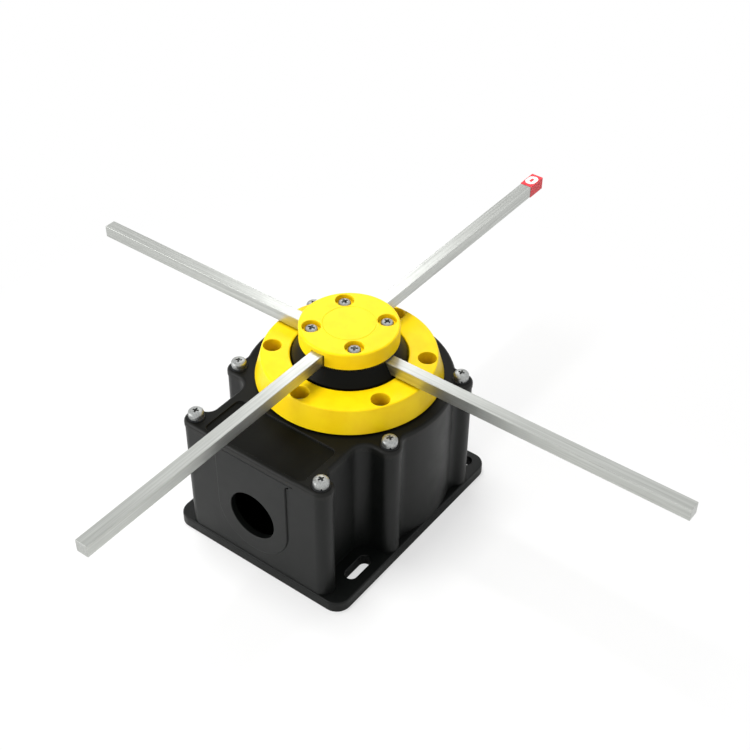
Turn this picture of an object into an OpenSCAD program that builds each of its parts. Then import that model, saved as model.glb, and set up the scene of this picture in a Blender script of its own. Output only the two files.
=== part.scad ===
// Crossed-rod position limit switch: a turning head with two crossed square rods
// on a moulded flange-mounted housing. Millimetres.
// The head turns about Z, the cable entry faces -Y, and the origin is on the
// turning axis at the underside of the flange.

/* [Housing] */
// Width of the flange and diameter of the round drum
flange_w = 130; // [110:1:160]
// Reach of the flange in front of the turning axis
flange_front = 94; // [86:1:115]
// Reach of the flange behind the turning axis
flange_back = 64; // [58:1:80]
// Thickness of the flange
flange_t = 7.6; // [5:0.1:12]
// Height of the base up to the parting plane
base_h = 87; // [72:1:110]
// Thickness of the lid plate
lid_t = 5; // [4:0.5:8]
// Thickness of the outer walls
wall = 4; // [3:0.5:6]
// Thickness of the floor
floor_t = 5; // [4:0.5:8]
// Half width of the front tower at its waist
waist_x = 43; // [38:0.5:46]
// Overhang of the lid over the walls of the base
lid_over = 0.4; // [0:0.1:1]

/* [Screw posts] */
// Distance of the front posts from the middle plane
front_post_x = 46.7; // [40:0.1:52]
// Radius of the front posts
front_post_r = 7.4; // [6.8:0.1:10]
// Distance of the middle lid screws in from the sides of the drum
mid_post_in = 7.8; // [7:0.1:11]
// Distance of the middle and rear posts from the X axis
mid_post_y = 36.4; // [30:0.1:42]
// Radius of the middle and rear posts
mid_post_r = 7.4; // [6.8:0.1:10]
// Thread diameter of the lid screws
lid_screw_d = 5; // [4:0.5:6]
// Radial clearance of a screw in its plain hole
screw_clear = 0.3; // [0.1:0.05:0.8]

/* [Mounting holes] */
// Width of the front mounting slots
slot_w = 8.2; // [6:0.1:9]
// Whole length of the front mounting slots
slot_l = 21.4; // [16:0.1:26]
// Distance of the mounting holes in from the sides of the flange
hole_in = 11.3; // [9:0.1:15]
// Distance of the slots in front of the turning axis
slot_y = 61.7; // [58:0.1:66]
// Distance of the rear holes behind the turning axis
rear_y = 54.5; // [50:0.1:58]
// Diameter of the rear mounting holes
rear_d = 8.4; // [6:0.1:9]

/* [Cable entry] */
// Diameter of the bore for an M32 cable gland
entry_d = 33; // [25.5:0.1:40.5]
// Height of the bore above the mounting face
entry_z = 44.7; // [36:0.1:56]
// Half width of the raised pad around the bore
pad_r = 26.6; // [22:0.1:30]
// Height of the raised pad
pad_h = 0.9; // [0.5:0.1:2]

/* [Rods] */
// Side of the square rods
rod_s = 8; // [6:0.5:10]
// Length of both rods
rod_l = 428.3; // [300:0.1:500]
// Shift of the lower rod along X
low_shift = 12.85; // [-30:0.05:30]
// Shift of the upper rod along Y
up_shift = -2.25; // [-30:0.05:30]
// Clearance between a rod and each side of its slot
rod_clear = 0.15; // [0.05:0.05:0.5]
// Length of the coloured marker at one rod end
mark_l = 15; // [8:0.5:30]

/* [Collar ring] */
// Outer radius of the collar ring at its top
ring_top_r = 53.5; // [48:0.5:56]
// Outer radius of the collar ring at its foot
ring_foot_r = 57.5; // [54:0.5:60]
// Radius of the bore of the collar ring
ring_bore_r = 35.8; // [32:0.1:40]
// Height of the collar ring
ring_h = 15.5; // [10:0.5:20]
// Radius of the circle of the ring screws
ring_pcr = 47; // [44:0.5:50]
// Diameter of the deep counterbores in the ring
ring_cb_d = 11.3; // [10.5:0.1:12.5]

/* [Head] */
// Radius of the hub where it enters the ring
hub_r = 34.8; // [30:0.1:39]
// Radius of the hub at its top
hub_top_r = 29.9; // [26:0.1:34]
// Radius of the cap
cap_r = 30.4; // [26:0.1:36]
// Height of the cap
cap_h = 11.2; // [9:0.1:16]
// Thickness of the clamp plate between the rods
clamp_t = 1.2; // [0.8:0.1:3]
// Distance of the cap screws in from the cap's rim
cap_screw_in = 7.7726; // [3.5:0.0001:13.5]
// Diameter of the counterbores in the cap
cap_cb_d = 11.4; // [8.5:0.1:12]

/* [Shaft and cams] */
// Diameter of the shaft in its upper bearing
shaft_d = 16; // [12:0.5:20]
// Radial running clearance of the shaft in its bushes
run_clear = 0.05; // [0.01:0.01:0.1]
// Radius of the star wheel over its lobes
star_r = 17; // [15:0.5:19]
// Stroke of a detent pin into a notch
pin_stroke = 3.7; // [2:0.1:5]
// Radius of a detent pin
pin_r = 4; // [3:0.1:5]
// Radial clearance of a detent pin in its guide
pin_clear = 0.05; // [0.01:0.01:0.05]
// Radius of the switch cams over their lobes
cam_r = 15; // [13:0.5:16]
// Thickness of a cam
cam_t = 8; // [5:0.5:9]
// Gap between a lobe and the part that it works
lobe_gap = 0.3; // [0.2:0.05:0.6]

/* [Switches] */
// Length of a switch body
sw_l = 27.8; // [20:0.1:30]
// Depth of a switch body from plunger face to terminals
sw_d = 15.9; // [10:0.1:18]
// Thickness of a switch body
sw_t = 10.3; // [6:0.1:11]

/* [Hidden] */
$fn = 96;
eps = 0.01;

drum_r = flange_w / 2;
mid_post_x = drum_r - mid_post_in;
hole_x = drum_r - hole_in;
cap_screw_a = (cap_r - cap_screw_in) / sqrt(2);
face_y = flange_front - pad_h + lid_over;
front_post_y = face_y - front_post_r;
mid_face = mid_post_y + mid_post_r;
lid_top = base_h + lid_t;
seat_h = 1.2;
ring_z = lid_top + seat_h;
ring_top = ring_z + ring_h;
posts = [
  [front_post_x, -front_post_y, front_post_r],
  [mid_post_x, -mid_post_y, mid_post_r],
  [mid_post_x, mid_post_y, mid_post_r]
];

// Recess between tower and middle post: one arc tangent to both and to the drum
rb = waist_x + mid_face - drum_r;
rc = (waist_x * waist_x + mid_face * mid_face - drum_r * drum_r);
recess_r = -rb + sqrt(rb * rb - rc);
recess_c = [waist_x + recess_r, -mid_face - recess_r];
// Arc that blends the front post into the waist
scoop_r = 6;
scoop_c = [
  waist_x + scoop_r,
  -front_post_y + sqrt(pow(front_post_r + scoop_r, 2)
    - pow(waist_x + scoop_r - front_post_x, 2))
];
// Arcs that blend the middle and rear posts into the drum
blend_r = 7;
function touch(p, ra, rp, rf) =
  let (d = norm(p), x = (d * d + pow(ra + rf, 2) - pow(rp + rf, 2)) / (2 * d),
       y = sqrt(pow(ra + rf, 2) - x * x), u = p / d)
  [x * u[0] + y * u[1], x * u[1] - y * u[0]];
blend_c = touch([mid_post_x, mid_post_y], drum_r, mid_post_r, blend_r);
tail_r = 4;
tail_c = [sqrt(pow(drum_r + tail_r, 2) - pow(mid_face + tail_r, 2)), mid_face + tail_r];

// Lid screws
screw_r = lid_screw_d / 2;
pan_r = 4.75;
pan_h = 3.7;
pocket_z = lid_top - 0.7;
pocket_r = 5.5;
washer_t = 1.2;
head_z = pocket_z + 2 * washer_t;
insert_l = 12;
insert_r = 3.5;

// Rods, hub and cap
low_z = ring_top + 1.3;
rod_w = rod_s + 2 * rod_clear;
hub_top = low_z + rod_s;
up_z = hub_top + clamp_t;
cap_top = up_z + cap_h;
hub_z = ring_z + 3.8;
cap_floor = up_z + 7.4;
cap_screw_l = 25;

// Shaft train, from the top down
bush_top = lid_top - 2.5;
seal_h = 7;
tube_top = bush_top + seal_h;
tube_bot = base_h - 13;
bush_flange = 1.8;
seal_r = 15;
bush_r = 10;
shaft_r = shaft_d / 2;
mid_r = shaft_r - 1;
low_r = 5;
square_s = 11;
square_clear = 0.1;
star_top = base_h - 17;
star_t = 10;
star_mid = star_top - star_t / 2;
plate_z = floor_t + 7;
plate_t = 4;
plate_top = plate_z + plate_t;
plate_r = 42;
shaft_bot = floor_t + 3.5;
sw_gap = 4;
sw_space = 3;
sw_z = [plate_top + sw_gap, plate_top + sw_gap + sw_t + sw_space];
cam_z = [for (z = sw_z) z + (sw_t - cam_t) / 2];
notch_r = 5.5;
notch_c = star_r - pin_stroke + notch_r;
key_w = 4;
key_out = mid_r + 1.8;

// Detent guides and springs
pin_tip = star_r + lobe_gap;
pin_l = 20;
guide_x = [24, 49];
guide_hw = 13;
guide_top = base_h - 7;
guide_bot = star_mid - 7;
plug_l = 3;
spring_l = guide_x[1] - plug_l - pin_tip - pin_l;

// Pillars and ring bosses
pillar_a = 26;
boss_z = base_h - 7;
ring_boss_r = 5.5;

// Switch fixing points
sw_x = cam_r + 2;
sw_y = -9;
sw_holes = [[sw_x + sw_d - 3, sw_y + 3], [sw_x + sw_d - 3, sw_y + sw_l - 3]];

module rrect(x0, y0, x1, y1, r) {
  translate([x0 + r, y0]) square([x1 - x0 - 2 * r, y1 - y0]);
  translate([x0, y0 + r]) square([x1 - x0, y1 - y0 - 2 * r]);
  for (x = [x0 + r, x1 - r], y = [y0 + r, y1 - r]) translate([x, y]) circle(r);
}

module both() { children(); mirror([1, 0, 0]) children(); }

module all_posts() {
  for (p = posts) both() translate([p[0], p[1], 0]) children();
}

// Housing outline; d draws it inward by that much everywhere
module outline(d = 0) {
  circle(drum_r - d);
  translate([-waist_x + d, -face_y + d])
    square([2 * (waist_x - d), face_y - d]);
  translate([-front_post_x, -face_y + d])
    square([2 * front_post_x, front_post_r - d]);
  both() {
    for (p = posts) translate([p[0], p[1]]) circle(p[2] - d);
    for (s = [-1, 1]) translate([30, s > 0 ? mid_post_y : -mid_face + d])
      square([mid_post_x - 30, mid_post_r - d]);
    difference() {
      polygon([[waist_x - d - 4, -front_post_y], [front_post_x, -front_post_y],
        scoop_c, [waist_x - d - 4, scoop_c[1]]]);
      translate(scoop_c) circle(scoop_r + d);
    }
    difference() {
      polygon([[waist_x - d - 4, recess_c[1]], recess_c,
        [recess_c[0], -mid_face + d + 4], [waist_x - d - 4, -mid_face + d + 4]]);
      translate(recess_c) circle(recess_r + d);
    }
    for (s = [-1, 1]) difference() {
      polygon([[0, 0], [mid_post_x, s * mid_post_y], [blend_c[0], s * blend_c[1]]]);
      translate([blend_c[0], s * blend_c[1]]) circle(blend_r + d + 0.02);
    }
    difference() {
      polygon([[0, 0], tail_c, [tail_c[0], mid_face - d - 4]]);
      translate(tail_c) circle(tail_r + d);
    }
  }
}

// Inner wall line of the base; d moves it outward
module cavity(d = 0) {
  difference() {
    union() {
      circle(drum_r - wall + d);
      translate([-waist_x + wall - d, -flange_front + wall - d])
        square([2 * (waist_x - wall + d), flange_front - wall]);
    }
    for (p = posts) both() translate([p[0], p[1]]) circle(p[2] - d);
  }
}

module up(z) { translate([0, 0, z]) children(); }

module pan_screw(d, hd, hh, l) {
  difference() {
    union() {
      up(-l) cylinder(h = l, d = d);
      cylinder(h = hh - 0.8, d = hd);
      up(hh - 0.8) cylinder(h = 0.8, d1 = hd, d2 = hd - 2);
    }
    for (a = [0, 90]) rotate(a + 20) translate([-hd * 0.27, -0.55, hh - 1.4])
      cube([hd * 0.54, 1.1, 2]);
  }
}

module ring_spots() { for (a = [30:60:330]) rotate(a) translate([ring_pcr, 0, 0]) children(); }
module pillar_spots() { for (x = [-1, 1], y = [-1, 1]) translate([x * pillar_a, y * pillar_a, 0]) children(); }
module guide_spots() { for (a = [0, 180]) rotate(a) for (y = [-9, 9]) translate([36.5, y, 0]) children(); }
module cap_spots() { for (x = [-1, 1], y = [-1, 1]) translate([x * cap_screw_a, y * cap_screw_a, 0]) children(); }
module switch_pairs() { for (a = [0, 180]) rotate(a) children(); }

// Face of the raised pad, with its upper corners swept out along the parting line
module pad_shape(r, sweep) {
  translate([0, entry_z - 1.7]) circle(r);
  translate([-r, entry_z - 1.7]) square([2 * r, base_h - entry_z + 1.7]);
  both() difference() {
    translate([r - 0.5, base_h - sweep]) square([sweep + 0.5, sweep]);
    translate([r + sweep, base_h - sweep]) circle(sweep);
  }
}

// Gasket line on the rim of the base
module gasket_line() { difference() { cavity(2.2); cavity(0.8); } }

module base_box() {
  color("#2f3230") difference() {
    union() {
      linear_extrude(flange_t)
        rrect(-drum_r, -flange_front, drum_r, flange_back, 9.5);
      linear_extrude(base_h) outline(lid_over);
      translate([0, -flange_front + pad_h + 1, 0]) rotate([90, 0, 0])
        linear_extrude(pad_h + 1) pad_shape(pad_r, 4);
    }
    up(floor_t) linear_extrude(base_h) cavity();
    up(base_h - 1.5) linear_extrude(3) gasket_line();
    all_posts() up(base_h - insert_l) cylinder(h = insert_l + 1, r = insert_r);
    all_posts() up(base_h - insert_l - 8) cylinder(h = 9, r = screw_r + screw_clear);
    translate([0, -flange_front + wall + 1, entry_z]) rotate([90, 0, 0])
      cylinder(h = wall + 2, d = entry_d);
    both() {
      for (y = [-1, 1]) translate([hole_x, -slot_y + y * (slot_l - slot_w) / 2, -1])
        cylinder(h = flange_t + 2, d = slot_w);
      translate([hole_x - slot_w / 2, -slot_y - (slot_l - slot_w) / 2, -1])
        cube([slot_w, slot_l - slot_w, flange_t + 2]);
      translate([hole_x, rear_y, -1]) cylinder(h = flange_t + 2, d = rear_d);
    }
  }
}

module lid() {
  color("#33363a") difference() {
    union() {
      up(base_h) linear_extrude(lid_t) outline();
      translate([-pad_r, -flange_front, base_h]) cube([2 * pad_r, 2, 2.5]);
      up(lid_top - 1) cylinder(h = 1 + seat_h, r = ring_foot_r - 1.5);
      up(base_h - 4) linear_extrude(5) difference() { cavity(-0.4); cavity(-2.4); }
      up(tube_bot) cylinder(h = base_h - tube_bot + 1, r = seal_r - 1);
      up(base_h) cylinder(h = tube_top - base_h, r = seal_r + 4);
      ring_spots() up(boss_z - 4) cylinder(h = 13, r = ring_boss_r);
      pillar_spots() up(boss_z) cylinder(h = 8, r = 6);
      guide_spots() up(guide_top) cylinder(h = 8, r = 4.6);
    }
    up(bush_top) cylinder(h = 20, r = seal_r);
    up(tube_bot - 1) cylinder(h = 30, r = bush_r);
    ring_spots() up(boss_z - 3) cylinder(h = 30, r = screw_r + 0.05);
    pillar_spots() up(boss_z - 1) cylinder(h = 8, r = 2.05);
    guide_spots() up(guide_top - 1) cylinder(h = 8.5, r = 2.05);
    all_posts() {
      up(base_h - 1) cylinder(h = 9, r = screw_r + screw_clear);
      up(pocket_z) cylinder(h = 3, r = pocket_r);
    }
    up(lid_top - 1.2) linear_extrude(2) rrect(-37, -face_y + 2.5, 37, -59, 4);
  }
}

module lid_gasket() {
  color("#17181a") up(base_h - 1.5) linear_extrude(1.5) gasket_line();
}

module lid_screws() {
  color("#b9bcb8") all_posts() up(head_z) pan_screw(lid_screw_d, 2 * pan_r, pan_h, 18);
}

// Soft washers in the pockets of the lid
module seal_washers() {
  color("#17181a") all_posts() up(pocket_z) difference() {
    cylinder(h = washer_t, r = pocket_r - 0.2);
    up(-1) cylinder(h = washer_t + 2, r = screw_r + 0.1);
  }
}

// Split washers under the heads of the lid screws
module spring_washers() {
  color("#a9aca8") all_posts() up(pocket_z + washer_t) difference() {
    cylinder(h = washer_t, r = pan_r - 0.15);
    up(-1) cylinder(h = washer_t + 2, r = screw_r + 0.1);
    rotate(-50) translate([0, -0.4, -1]) cube([8, 0.8, 4]);
  }
}

module thread_inserts() {
  color("#c9a24a") all_posts() up(base_h - insert_l) difference() {
    union() {
      cylinder(h = 3, r = insert_r);
      up(3) cylinder(h = 3, r = insert_r - 0.4);
      up(6) cylinder(h = insert_l - 6, r = insert_r);
    }
    up(-1) cylinder(h = insert_l + 2, r = screw_r + 0.05);
  }
}

module collar_ring() {
  t = ring_h;
  color("#e6cf1f") difference() {
    up(ring_z) rotate_extrude() polygon([[ring_bore_r, 0], [ring_foot_r, 0],
      [ring_top_r + 0.15, t - 0.6], [ring_top_r - 0.6, t], [ring_bore_r + 1, t],
      [ring_bore_r, t - 1]]);
    ring_spots() {
      up(ring_z + 4.6) cylinder(h = 30, d = ring_cb_d);
      up(ring_z - 1) cylinder(h = 9, r = screw_r + screw_clear);
    }
  }
}

module collar_screws() {
  color("#a9aca8") ring_spots() up(ring_z + 4.6) pan_screw(lid_screw_d, 2 * pan_r, pan_h, 18);
}

module bearing_bush() {
  color("#a9793a") difference() {
    union() {
      up(tube_bot) cylinder(h = bush_top - tube_bot, r = bush_r);
      up(tube_bot - bush_flange) cylinder(h = bush_flange, r = seal_r - 2);
    }
    up(tube_bot - 3) cylinder(h = 30, r = shaft_r + run_clear);
  }
}

module shaft_seal() {
  color("#1b1c1e") difference() {
    up(bush_top) cylinder(h = seal_h, r = seal_r);
    up(bush_top - 1) cylinder(h = seal_h + 2, r = shaft_r + 0.08);
    up(bush_top - 1) difference() {
      cylinder(h = seal_h - 1.5, r = seal_r - 2);
      up(-1) cylinder(h = seal_h + 2, r = shaft_r + 1.6);
    }
  }
}

module frame_pillars() {
  color("#b4b7b5") pillar_spots() difference() {
    union() {
      up(plate_top) cylinder(h = boss_z - plate_top, r = 4);
      up(boss_z - 1) cylinder(h = 6.5, r = 2);
    }
    up(plate_top - 1) cylinder(h = 13, r = 2.05);
  }
}

module frame_plate() {
  color("#9fa3a4") difference() {
    up(plate_z) cylinder(h = plate_t, r = plate_r);
    up(plate_z - 1) cylinder(h = plate_t + 2, r = 7);
    pillar_spots() up(plate_z - 1) cylinder(h = plate_t + 2, r = 2 + screw_clear);
    switch_pairs() for (p = sw_holes) translate([p[0], p[1], plate_z - 1])
      cylinder(h = plate_t + 2, r = 1.55);
  }
}

module plate_screws() {
  color("#b9bcb8") pillar_spots() up(plate_z) rotate([180, 0, 0]) pan_screw(4, 8, 2.6, 14);
}

module lower_bush() {
  color("#a9793a") difference() {
    union() {
      up(plate_z) cylinder(h = plate_t, r = 7);
      up(plate_top) cylinder(h = 1.5, r = 9);
    }
    up(plate_z - 1) cylinder(h = 10, r = low_r + run_clear);
  }
}

module detent_guides() {
  color("#c8cbc9") for (a = [0, 180]) rotate(a) difference() {
    translate([guide_x[0], -guide_hw, guide_bot])
      cube([guide_x[1] - guide_x[0], 2 * guide_hw, guide_top - guide_bot]);
    translate([guide_x[0] - 1, 0, star_mid]) rotate([0, 90, 0])
      cylinder(h = 40, r = pin_r + pin_clear);
    translate([guide_x[1] - plug_l, 0, star_mid]) rotate([0, 90, 0])
      cylinder(h = 10, r = pin_r + 1);
    for (y = [-9, 9]) translate([36.5, y, guide_bot - 1])
      cylinder(h = 40, r = 2 + screw_clear);
  }
}

module guide_screws() {
  color("#b9bcb8") guide_spots() up(guide_bot) rotate([180, 0, 0])
    pan_screw(4, 8, 2.6, guide_top - guide_bot + 6);
}

module guide_plugs() {
  color("#8d9192") for (a = [0, 180]) rotate(a)
    translate([guide_x[1] - plug_l, 0, star_mid]) rotate([0, 90, 0]) difference() {
      cylinder(h = plug_l, r = pin_r + 1);
      translate([-0.6, -6, plug_l - 1.2]) cube([1.2, 12, 3]);
    }
}

module detent_spring() {
  n = 5;
  color("#c0c3c4") translate([pin_tip + pin_l, 0, star_mid]) rotate([0, 90, 0]) {
    up(0.05) linear_extrude(height = spring_l - 0.1, twist = -360 * n, slices = 16 * n, $fn = 10)
      translate([pin_r - 1.1, 0]) circle(0.55, $fn = 8);
  }
}
module detent_spring_a() { detent_spring(); }
module detent_spring_b() { rotate(180) detent_spring(); }

module detent_pin() {
  color("#9a9ea0") translate([pin_tip + pin_r, 0, star_mid]) rotate([0, 90, 0]) {
    sphere(pin_r);
    cylinder(h = pin_l - pin_r, r = pin_r);
  }
}
module detent_pin_a() { detent_pin(); }
module detent_pin_b() { rotate(180) detent_pin(); }

module switch_bodies() {
  color("#b5402c") switch_pairs() for (z = sw_z) difference() {
    translate([sw_x, sw_y, z]) cube([sw_d, sw_l, sw_t]);
    for (p = sw_holes) translate([p[0], p[1], z - 1]) cylinder(h = sw_t + 2, r = 1.65);
    translate([sw_x - 1, 0, z + sw_t / 2]) rotate([0, 90, 0]) cylinder(h = 5, r = 1.7);
    for (i = [0:2]) translate([sw_x + sw_d - 4, blade_y(i), z + sw_t / 2 - 2.4])
      cube([5, 0.8, 4.8]);
  }
}
function blade_y(i) = sw_y + 6.5 + i * 7;

module switch_plungers() {
  color("#e8e6dc") switch_pairs() for (z = sw_z)
    translate([cam_r + lobe_gap, 0, z + sw_t / 2]) rotate([0, 90, 0]) {
      translate([0, 0, 0]) cylinder(h = 0.8, r1 = 1, r2 = 1.6);
      up(0.8) cylinder(h = sw_x + 4 - cam_r - lobe_gap - 0.8, r = 1.6);
    }
}

module switch_terminals() {
  color("#caa64e") switch_pairs() for (z = sw_z, i = [0:2]) difference() {
    translate([sw_x + sw_d - 4, blade_y(i), z + sw_t / 2 - 2.4]) cube([12, 0.8, 4.8]);
    translate([sw_x + sw_d + 5.5, blade_y(i) - 1, z + sw_t / 2]) rotate([-90, 0, 0])
      cylinder(h = 3, r = 0.9);
  }
}

module switch_spacers() {
  color("#d5d7d3") switch_pairs() for (p = sw_holes) translate([p[0], p[1], 0]) {
    for (s = [[plate_top, sw_gap], [sw_z[0] + sw_t, sw_space]]) difference() {
      up(s[0]) cylinder(h = s[1], r = 2.9);
      up(s[0] - 1) cylinder(h = s[1] + 2, r = 1.65);
    }
  }
}

module switch_screws() {
  color("#b9bcb8") switch_pairs() for (p = sw_holes)
    translate([p[0], p[1], sw_z[1] + sw_t]) pan_screw(3, 5.6, 2.1, sw_z[1] + sw_t - plate_z - 0.4);
}

module hub() {
  color("#2f3230") difference() {
    rotate_extrude() polygon([[0, hub_z], [hub_r - 0.6, hub_z], [hub_r, hub_z + 0.6],
      [hub_r, ring_top + 0.3], [hub_top_r + 0.3, hub_top - 0.6], [hub_top_r - 0.3, hub_top],
      [0, hub_top]]);
    translate([-60, -rod_w / 2, low_z]) cube([120, rod_w, 20]);
    up(low_z - 4.5) cylinder(h = 10, r = 5.5);
    up(hub_z - 1) cylinder(h = 30, r = 3.2);
    translate([-square_s / 2 - square_clear, -square_s / 2 - square_clear, hub_z - 1])
      cube([square_s + 2 * square_clear, square_s + 2 * square_clear, 8]);
    cap_spots() up(cap_floor - cap_screw_l - 0.5) cylinder(h = 40, r = 2.05);
  }
}

module hub_screw() {
  color("#8d9192") up(low_z - 4.5) difference() {
    union() {
      up(-18) cylinder(h = 18, r = 3);
      cylinder(h = 4, r = 5);
    }
    up(1.5) cylinder(h = 3, r = 2.5, $fn = 6);
  }
}

module lower_rod() {
  color("#b9bcb4") translate([low_shift - rod_l / 2, -rod_s / 2, low_z])
    cube([rod_l, rod_s, rod_s]);
}

module upper_rod() {
  color("#b9bcb4") translate([-rod_s / 2, up_shift - rod_l / 2, up_z])
    cube([rod_s, rod_l, rod_s]);
}

// Plate between the rods, with a finely toothed edge
module clamp_plate() {
  n = 140;
  color("#3a3d3c") up(hub_top) difference() {
    linear_extrude(clamp_t) polygon([for (i = [0:2 * n - 1])
      (cap_r - (i % 2 == 0 ? 0.2 : 1)) * [cos(i * 180 / n), sin(i * 180 / n)]]);
    cap_spots() up(-1) cylinder(h = 5, r = 2 + screw_clear);
  }
}

module cap() {
  color("#ecd81c") difference() {
    up(up_z) rotate_extrude() polygon(concat([[0, 0], [cap_r, 0]],
      [for (a = [0:15:90]) [cap_r - 1.2 + 1.2 * cos(a), cap_h - 1.2 + 1.2 * sin(a)]],
      [[0, cap_h]]));
    translate([-rod_w / 2, -60, up_z - 1]) cube([rod_w, 120, rod_s + 1]);
    cap_spots() {
      up(cap_floor) cylinder(h = 30, d = cap_cb_d);
      up(up_z - 1) cylinder(h = 30, r = 2 + screw_clear);
    }
    up(cap_top - 0.3) difference() {
      cylinder(h = 2, r = 16.3);
      up(-1) cylinder(h = 4, r = 15.8);
      cap_spots() cylinder(h = 8, d = cap_cb_d + 0.8, center = true);
    }
  }
}

module cap_screws() {
  color("#a9aca8") cap_spots() up(cap_floor) pan_screw(4, 8, 3.1, cap_screw_l);
}

// Sleeve of coloured film on the far end of the upper rod
module rod_marker() {
  t = 0.25;
  y1 = up_shift + rod_l / 2;
  color("#d8353f") translate([0, y1 - mark_l, up_z]) difference() {
    translate([-rod_s / 2 - t, 0, -t]) cube([rod_s + 2 * t, mark_l, rod_s + 2 * t]);
    translate([-rod_s / 2, -1, 0]) cube([rod_s, mark_l + 2, rod_s]);
  }
}

// Plain white figure 0 on the top of the marker
module marker_zero() {
  color("#f4f4f0") translate([0, up_shift + rod_l / 2 - mark_l / 2, up_z + rod_s + 0.25])
    linear_extrude(0.15) difference() { stadium(3.7, 1.5); stadium(1.1, 1.1); }
}
module stadium(r, a) {
  for (y = [-a, a]) translate([0, y]) circle(r);
  translate([-r, -a]) square([2 * r, 2 * a]);
}

module shaft() {
  color("#a6a9a7") difference() {
    union() {
      up(shaft_bot) cylinder(h = plate_top + 1.6 - shaft_bot, r = low_r);
      up(plate_top + 1.6) cylinder(h = star_top - plate_top - 1.6, r = mid_r);
      up(star_top) cylinder(h = hub_z - 0.3 - star_top, r = shaft_r);
      translate([-square_s / 2, -square_s / 2, hub_z - 0.4])
        cube([square_s, square_s, 7]);
    }
    up(low_z - 4.5 - 20) cylinder(h = 40, r = 3.05);
    up(plate_z - 1.5) clip_ring(1.3, low_r + 1, low_r - 0.7);
    key_block(0);
  }
}
module clip_ring(h, ro, ri) {
  difference() { cylinder(h = h, r = ro); up(-1) cylinder(h = h + 2, r = ri); }
}
module key_block(c) {
  rotate(45) translate([mid_r - 2.2 - c, -key_w / 2 - c, plate_top + 5])
    cube([key_out - mid_r + 2.2 + 2 * c, key_w + 2 * c, star_top - plate_top - 6]);
}
module shaft_key() { color("#8d9192") key_block(0); }
module key_slot() {
  rotate(45) translate([0, -key_w / 2 - 0.05, 0]) cube([key_out + 0.15, key_w + 0.1, 200]);
}

module star_wheel() {
  color("#8f9394") difference() {
    up(star_top - star_t) cylinder(h = star_t, r = star_r);
    up(star_top - star_t - 1) cylinder(h = star_t + 2, r = mid_r + 0.03);
    key_slot();
    for (a = [0:90:270]) rotate(a) translate([notch_c, 0, 0])
      cylinder(h = 200, r = notch_r);
  }
}

module cam_disc(z, a) {
  color("#d9d6c9") difference() {
    union() {
      up(z) cylinder(h = cam_t, r = cam_r - 3);
      up(z) intersection() {
        cylinder(h = cam_t, r = cam_r);
        rotate(a) linear_extrude(cam_t) polygon([[0, 0], [30, -18], [30, 18]]);
      }
    }
    up(z - 1) cylinder(h = cam_t + 2, r = mid_r + 0.03);
    key_slot();
  }
}
module cam_upper() { cam_disc(cam_z[1], 0); }
module cam_lower() { cam_disc(cam_z[0], 90); }

module cam_spacers() {
  spans = [[plate_top + 1.8, cam_z[0]], [cam_z[0] + cam_t, cam_z[1]],
    [cam_z[1] + cam_t, star_top - star_t]];
  color("#c5c8c6") for (s = spans) difference() {
    up(s[0]) cylinder(h = s[1] - s[0], r = key_out + 1.4);
    up(s[0] - 1) cylinder(h = s[1] - s[0] + 2, r = mid_r + 0.03);
    key_slot();
  }
}

module shaft_clip() {
  color("#7d8182") up(plate_z - 1.45) difference() {
    cylinder(h = 1.2, r = low_r + 2.4);
    up(-1) cylinder(h = 4, r = low_r - 0.65);
    translate([-2, -20, -1]) cube([4, 20, 4]);
  }
}

base_box();
lid();
lid_gasket();
lid_screws();
seal_washers();
spring_washers();
thread_inserts();
collar_ring();
collar_screws();
bearing_bush();
shaft_seal();
frame_pillars();
frame_plate();
plate_screws();
lower_bush();
detent_guides();
guide_screws();
guide_plugs();
detent_spring_a();
detent_spring_b();
detent_pin_a();
detent_pin_b();
switch_bodies();
switch_plungers();
switch_terminals();
switch_spacers();
switch_screws();
hub();
hub_screw();
lower_rod();
clamp_plate();
upper_rod();
cap();
cap_screws();
rod_marker();
marker_zero();
shaft();
shaft_key();
star_wheel();
cam_upper();
cam_lower();
cam_spacers();
shaft_clip();
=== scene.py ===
"""Looks of a crossed-rod limit switch: moulded black housing, yellow collar and cap, two square steel rods."""

import math

import bmesh
import bpy
from mathutils import Matrix, Vector


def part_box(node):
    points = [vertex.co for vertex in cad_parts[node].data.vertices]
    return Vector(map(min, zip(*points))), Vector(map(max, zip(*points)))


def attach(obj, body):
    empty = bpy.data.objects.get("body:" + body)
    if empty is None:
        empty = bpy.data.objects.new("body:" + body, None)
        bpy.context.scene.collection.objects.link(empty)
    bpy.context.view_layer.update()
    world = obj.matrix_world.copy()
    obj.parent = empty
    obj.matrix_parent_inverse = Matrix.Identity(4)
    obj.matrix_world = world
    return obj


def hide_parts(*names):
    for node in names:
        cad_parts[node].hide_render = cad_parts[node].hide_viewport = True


bl_info = {
    "name": "Crossed-Rod Limit Switch",
    "version": (1, 0, 0),
    "blender": (4, 5, 0),
    "location": "View3D > Sidebar > Limit Switch",
    "description": "Builds the housing, turning head, rods, screws and finishes of a crossed-rod limit switch",
    "category": "Object",
}

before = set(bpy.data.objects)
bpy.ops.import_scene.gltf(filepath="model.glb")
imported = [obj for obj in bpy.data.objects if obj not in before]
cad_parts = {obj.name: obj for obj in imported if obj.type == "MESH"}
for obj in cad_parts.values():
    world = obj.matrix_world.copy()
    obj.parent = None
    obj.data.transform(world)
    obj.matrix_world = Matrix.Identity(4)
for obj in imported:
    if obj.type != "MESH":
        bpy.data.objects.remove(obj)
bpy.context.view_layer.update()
MM = 0.001


# Mesh helpers


def clear_selection():
    if bpy.context.object and bpy.context.object.mode != "OBJECT":
        bpy.ops.object.mode_set(mode="OBJECT")
    bpy.ops.object.select_all(action="DESELECT")


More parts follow.
